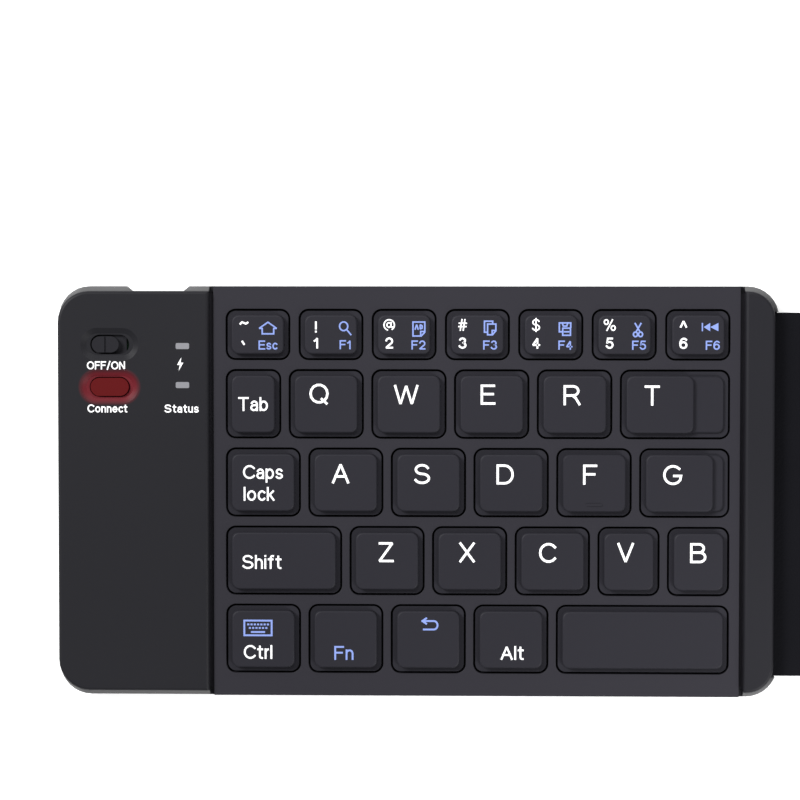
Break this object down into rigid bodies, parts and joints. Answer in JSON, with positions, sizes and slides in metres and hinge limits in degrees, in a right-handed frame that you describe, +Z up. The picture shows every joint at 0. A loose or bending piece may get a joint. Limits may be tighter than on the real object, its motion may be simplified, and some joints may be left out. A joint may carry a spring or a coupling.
{
  "type": "folding keyboard",
  "caption": "Bi-fold pocket keyboard: a left half with a control panel and keys, joined by a flexible spine to a right key half that folds over it.",
  "frame": {"origin": "on the table under the middle of the open keyboard", "axes": "+X along the key rows to the right, +Y to the rear edge, +Z up; open and flat at rest"},
  "size_m": [0.3072, 0.0944, 0.0078],
  "materials": {
    "case_plastic": "fine matte grain, charcoal",
    "frame_plastic": "matte, charcoal",
    "keycap_plastic": "matte, charcoal, printed legends",
    "steel": "stamped sheet",
    "membrane_film": "thin polyester film",
    "dome_rubber": "soft silicone, black",
    "link_plastic": "moulded acetal",
    "board_laminate": "solder mask",
    "battery_foil": "laminated foil pouch",
    "lamp_plastic": "milky light pipe",
    "button_plastic": "deep red",
    "foot_rubber": "dull",
    "spine_rubber": "soft, flexible",
    "cable_film": "polyimide flat cable"
  },
  "bodies": {
    "left_half": {"left_bottom_shell": "case_plastic", "left_key_frame": "frame_plastic", "control_panel_cover": "case_plastic", "left_hinge_strip": "case_plastic", "left_key_plate": "steel", "left_membrane": "membrane_film", "left_dome_sheet": "dome_rubber", "left_scissor_links": "link_plastic", "control_board": "board_laminate", "battery": "battery_foil", "usb_socket": "steel", "light_pipes": "lamp_plastic", "left_feet": "foot_rubber", "left_screws": "steel", "spine_skin": "spine_rubber", "spine_cable": "cable_film"},
    "right_half": {"right_bottom_shell": "case_plastic", "right_key_frame": "frame_plastic", "right_hinge_strip": "case_plastic", "right_key_plate": "steel", "right_membrane": "membrane_film", "right_dome_sheet": "dome_rubber", "right_scissor_links": "link_plastic", "right_feet": "foot_rubber", "right_screws": "steel"},
    "power_slider": {"power_slider": "case_plastic"},
    "connect_button": {"connect_button": "button_plastic"},
    "key_backquote": {"key_backquote": "keycap_plastic"},
    "key_1": {"key_1": "keycap_plastic"},
    "key_2": {"key_2": "keycap_plastic"},
    "key_3": {"key_3": "keycap_plastic"},
    "key_4": {"key_4": "keycap_plastic"},
    "key_5": {"key_5": "keycap_plastic"},
    "key_6": {"key_6": "keycap_plastic"},
    "key_tab": {"key_tab": "keycap_plastic"},
    "key_q": {"key_q": "keycap_plastic"},
    "key_w": {"key_w": "keycap_plastic"},
    "key_e": {"key_e": "keycap_plastic"},
    "key_r": {"key_r": "keycap_plastic"},
    "key_t": {"key_t": "keycap_plastic"},
    "key_caps_lock": {"key_caps_lock": "keycap_plastic"},
    "key_a": {"key_a": "keycap_plastic"},
    "key_s": {"key_s": "keycap_plastic"},
    "key_d": {"key_d": "keycap_plastic"},
    "key_f": {"key_f": "keycap_plastic"},
    "key_g": {"key_g": "keycap_plastic"},
    "key_left_shift": {"key_left_shift": "keycap_plastic"},
    "key_z": {"key_z": "keycap_plastic"},
    "key_x": {"key_x": "keycap_plastic"},
    "key_c": {"key_c": "keycap_plastic"},
    "key_v": {"key_v": "keycap_plastic"},
    "key_b": {"key_b": "keycap_plastic"},
    "key_ctrl": {"key_ctrl": "keycap_plastic"},
    "key_fn": {"key_fn": "keycap_plastic"},
    "key_meta": {"key_meta": "keycap_plastic"},
    "key_alt": {"key_alt": "keycap_plastic"},
    "key_left_space": {"key_left_space": "keycap_plastic"},
    "right_number_keys": {"right_number_keys": "keycap_plastic"},
    "right_letter_keys": {"right_letter_keys": "keycap_plastic"},
    "right_bottom_keys": {"right_bottom_keys": "keycap_plastic"}
  },
  "joints": [
    {"name": "fold", "type": "hinge", "parent": "left_half", "child": "right_half", "pos_m": [0.0179, 0, 0.00795], "axis": [0, -1, 0], "range_deg": [0, 180], "deforming": ["spine_skin", "spine_cable"]},
    {"name": "power_slide", "type": "slide", "parent": "left_half", "child": "power_slider", "axis": [1, 0, 0], "range_m": [0, 0.002]},
    {"name": "connect_press", "type": "slide", "parent": "left_half", "child": "connect_button", "axis": [0, 0, -1], "range_m": [0, 0.0005], "stiffness_N_per_m": 1500},
    {"name": "key_backquote_press", "type": "slide", "parent": "left_half", "child": "key_backquote", "axis": [0, 0, -1], "range_m": [0, 0.0016], "stiffness_N_per_m": 350, "deforming": ["left_dome_sheet", "left_scissor_links"]},
    {"name": "key_1_press", "type": "slide", "parent": "left_half", "child": "key_1", "axis": [0, 0, -1], "range_m": [0, 0.0016], "stiffness_N_per_m": 350, "deforming": ["left_dome_sheet", "left_scissor_links"]},
    {"name": "key_2_press", "type": "slide", "parent": "left_half", "child": "key_2", "axis": [0, 0, -1], "range_m": [0, 0.0016], "stiffness_N_per_m": 350, "deforming": ["left_dome_sheet", "left_scissor_links"]},
    {"name": "key_3_press", "type": "slide", "parent": "left_half", "child": "key_3", "axis": [0, 0, -1], "range_m": [0, 0.0016], "stiffness_N_per_m": 350, "deforming": ["left_dome_sheet", "left_scissor_links"]},
    {"name": "key_4_press", "type": "slide", "parent": "left_half", "child": "key_4", "axis": [0, 0, -1], "range_m": [0, 0.0016], "stiffness_N_per_m": 350, "deforming": ["left_dome_sheet", "left_scissor_links"]},
    {"name": "key_5_press", "type": "slide", "parent": "left_half", "child": "key_5", "axis": [0, 0, -1], "range_m": [0, 0.0016], "stiffness_N_per_m": 350, "deforming": ["left_dome_sheet", "left_scissor_links"]},
    {"name": "key_6_press", "type": "slide", "parent": "left_half", "child": "key_6", "axis": [0, 0, -1], "range_m": [0, 0.0016], "stiffness_N_per_m": 350, "deforming": ["left_dome_sheet", "left_scissor_links"]},
    {"name": "key_tab_press", "type": "slide", "parent": "left_half", "child": "key_tab", "axis": [0, 0, -1], "range_m": [0, 0.0016], "stiffness_N_per_m": 350, "deforming": ["left_dome_sheet", "left_scissor_links"]},
    {"name": "key_q_press", "type": "slide", "parent": "left_half", "child": "key_q", "axis": [0, 0, -1], "range_m": [0, 0.0016], "stiffness_N_per_m": 350, "deforming": ["left_dome_sheet", "left_scissor_links"]},
    {"name": "key_w_press", "type": "slide", "parent": "left_half", "child": "key_w", "axis": [0, 0, -1], "range_m": [0, 0.0016], "stiffness_N_per_m": 350, "deforming": ["left_dome_sheet", "left_scissor_links"]},
    {"name": "key_e_press", "type": "slide", "parent": "left_half", "child": "key_e", "axis": [0, 0, -1], "range_m": [0, 0.0016], "stiffness_N_per_m": 350, "deforming": ["left_dome_sheet", "left_scissor_links"]},
    {"name": "key_r_press", "type": "slide", "parent": "left_half", "child": "key_r", "axis": [0, 0, -1], "range_m": [0, 0.0016], "stiffness_N_per_m": 350, "deforming": ["left_dome_sheet", "left_scissor_links"]},
    {"name": "key_t_press", "type": "slide", "parent": "left_half", "child": "key_t", "axis": [0, 0, -1], "range_m": [0, 0.0016], "stiffness_N_per_m": 350, "deforming": ["left_dome_sheet", "left_scissor_links"]},
    {"name": "key_caps_lock_press", "type": "slide", "parent": "left_half", "child": "key_caps_lock", "axis": [0, 0, -1], "range_m": [0, 0.0016], "stiffness_N_per_m": 350, "deforming": ["left_dome_sheet", "left_scissor_links"]},
    {"name": "key_a_press", "type": "slide", "parent": "left_half", "child": "key_a", "axis": [0, 0, -1], "range_m": [0, 0.0016], "stiffness_N_per_m": 350, "deforming": ["left_dome_sheet", "left_scissor_links"]},
    {"name": "key_s_press", "type": "slide", "parent": "left_half", "child": "key_s", "axis": [0, 0, -1], "range_m": [0, 0.0016], "stiffness_N_per_m": 350, "deforming": ["left_dome_sheet", "left_scissor_links"]},
    {"name": "key_d_press", "type": "slide", "parent": "left_half", "child": "key_d", "axis": [0, 0, -1], "range_m": [0, 0.0016], "stiffness_N_per_m": 350, "deforming": ["left_dome_sheet", "left_scissor_links"]},
    {"name": "key_f_press", "type": "slide", "parent": "left_half", "child": "key_f", "axis": [0, 0, -1], "range_m": [0, 0.0016], "stiffness_N_per_m": 350, "deforming": ["left_dome_sheet", "left_scissor_links"]},
    {"name": "key_g_press", "type": "slide", "parent": "left_half", "child": "key_g", "axis": [0, 0, -1], "range_m": [0, 0.0016], "stiffness_N_per_m": 350, "deforming": ["left_dome_sheet", "left_scissor_links"]},
    {"name": "key_left_shift_press", "type": "slide", "parent": "left_half", "child": "key_left_shift", "axis": [0, 0, -1], "range_m": [0, 0.0016], "stiffness_N_per_m": 350, "deforming": ["left_dome_sheet", "left_scissor_links"]},
    {"name": "key_z_press", "type": "slide", "parent": "left_half", "child": "key_z", "axis": [0, 0, -1], "range_m": [0, 0.0016], "stiffness_N_per_m": 350, "deforming": ["left_dome_sheet", "left_scissor_links"]},
    {"name": "key_x_press", "type": "slide", "parent": "left_half", "child": "key_x", "axis": [0, 0, -1], "range_m": [0, 0.0016], "stiffness_N_per_m": 350, "deforming": ["left_dome_sheet", "left_scissor_links"]},
    {"name": "key_c_press", "type": "slide", "parent": "left_half", "child": "key_c", "axis": [0, 0, -1], "range_m": [0, 0.0016], "stiffness_N_per_m": 350, "deforming": ["left_dome_sheet", "left_scissor_links"]},
    {"name": "key_v_press", "type": "slide", "parent": "left_half", "child": "key_v", "axis": [0, 0, -1], "range_m": [0, 0.0016], "stiffness_N_per_m": 350, "deforming": ["left_dome_sheet", "left_scissor_links"]},
    {"name": "key_b_press", "type": "slide", "parent": "left_half", "child": "key_b", "axis": [0, 0, -1], "range_m": [0, 0.0016], "stiffness_N_per_m": 350, "deforming": ["left_dome_sheet", "left_scissor_links"]},
    {"name": "key_ctrl_press", "type": "slide", "parent": "left_half", "child": "key_ctrl", "axis": [0, 0, -1], "range_m": [0, 0.0016], "stiffness_N_per_m": 350, "deforming": ["left_dome_sheet", "left_scissor_links"]},
    {"name": "key_fn_press", "type": "slide", "parent": "left_half", "child": "key_fn", "axis": [0, 0, -1], "range_m": [0, 0.0016], "stiffness_N_per_m": 350, "deforming": ["left_dome_sheet", "left_scissor_links"]},
    {"name": "key_meta_press", "type": "slide", "parent": "left_half", "child": "key_meta", "axis": [0, 0, -1], "range_m": [0, 0.0016], "stiffness_N_per_m": 350, "deforming": ["left_dome_sheet", "left_scissor_links"]},
    {"name": "key_alt_press", "type": "slide", "parent": "left_half", "child": "key_alt", "axis": [0, 0, -1], "range_m": [0, 0.0016], "stiffness_N_per_m": 350, "deforming": ["left_dome_sheet", "left_scissor_links"]},
    {"name": "key_left_space_press", "type": "slide", "parent": "left_half", "child": "key_left_space", "axis": [0, 0, -1], "range_m": [0, 0.0016], "stiffness_N_per_m": 350, "deforming": ["left_dome_sheet", "left_scissor_links"]},
    {"name": "right_number_keys_press", "type": "slide", "parent": "right_half", "child": "right_number_keys", "axis": [0, 0, -1], "range_m": [0, 0.0016], "stiffness_N_per_m": 2450, "deforming": ["right_dome_sheet", "right_scissor_links"]},
    {"name": "right_letter_keys_press", "type": "slide", "parent": "right_half", "child": "right_letter_keys", "axis": [0, 0, -1], "range_m": [0, 0.0016], "stiffness_N_per_m": 6300, "deforming": ["right_dome_sheet", "right_scissor_links"]},
    {"name": "right_bottom_keys_press", "type": "slide", "parent": "right_half", "child": "right_bottom_keys", "axis": [0, 0, -1], "range_m": [0, 0.0016], "stiffness_N_per_m": 1750, "deforming": ["right_dome_sheet", "right_scissor_links"]}
  ]
}
